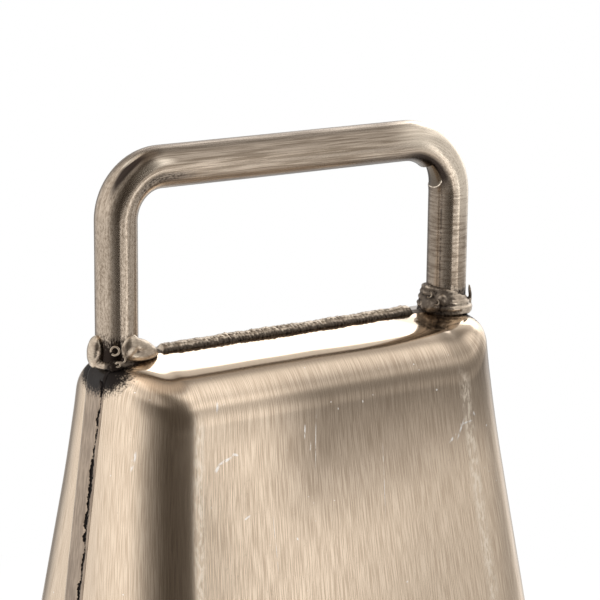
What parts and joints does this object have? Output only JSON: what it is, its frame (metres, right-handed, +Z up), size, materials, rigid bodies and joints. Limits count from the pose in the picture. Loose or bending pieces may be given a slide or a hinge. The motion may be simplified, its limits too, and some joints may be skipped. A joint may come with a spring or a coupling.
{
  "type": "hand cowbell",
  "caption": "Flared sheet steel cowbell with welded seams, a bent rod handle on the roof, and a ball clapper that swings inside to ring it by hand.",
  "frame": {"origin": "centre of the mouth in the plane of the rim, on which the bell stands", "axes": "+Z up through the handle, +X along the handle and the wide faces, -Y the front face"},
  "size_m": [0.154, 0.1016, 0.2414],
  "materials": {
    "bell_steel": "brushed, antique nickel tone",
    "handle_steel": "brushed, antique nickel tone",
    "weld_metal": "darkened weld metal, rubbed bright on top",
    "clapper_steel": "plain drawn steel"
  },
  "bodies": {
    "bell": {"front_shell": "bell_steel", "rear_shell": "bell_steel", "left_seam_weld": "weld_metal", "right_seam_weld": "weld_metal", "top_seam_weld": "weld_metal", "handle": "handle_steel", "left_handle_weld": "weld_metal", "right_handle_weld": "weld_metal", "clapper_staple": "clapper_steel", "staple_welds": "weld_metal"},
    "ring": {"hanger_ring": "clapper_steel"},
    "clapper": {"clapper_shank": "clapper_steel", "clapper_ball": "clapper_steel", "ball_weld": "weld_metal"}
  },
  "joints": [
    {"name": "swing_front_back", "type": "hinge", "parent": "bell", "child": "ring", "pos_m": [0, 0, 0.18], "axis": [1, 0, 0], "range_deg": [-10.5, 10.5]},
    {"name": "swing_side", "type": "hinge", "parent": "ring", "child": "clapper", "pos_m": [0, 0, 0.1668], "axis": [0, 1, 0], "range_deg": [-23.5, 23.5]}
  ]
}
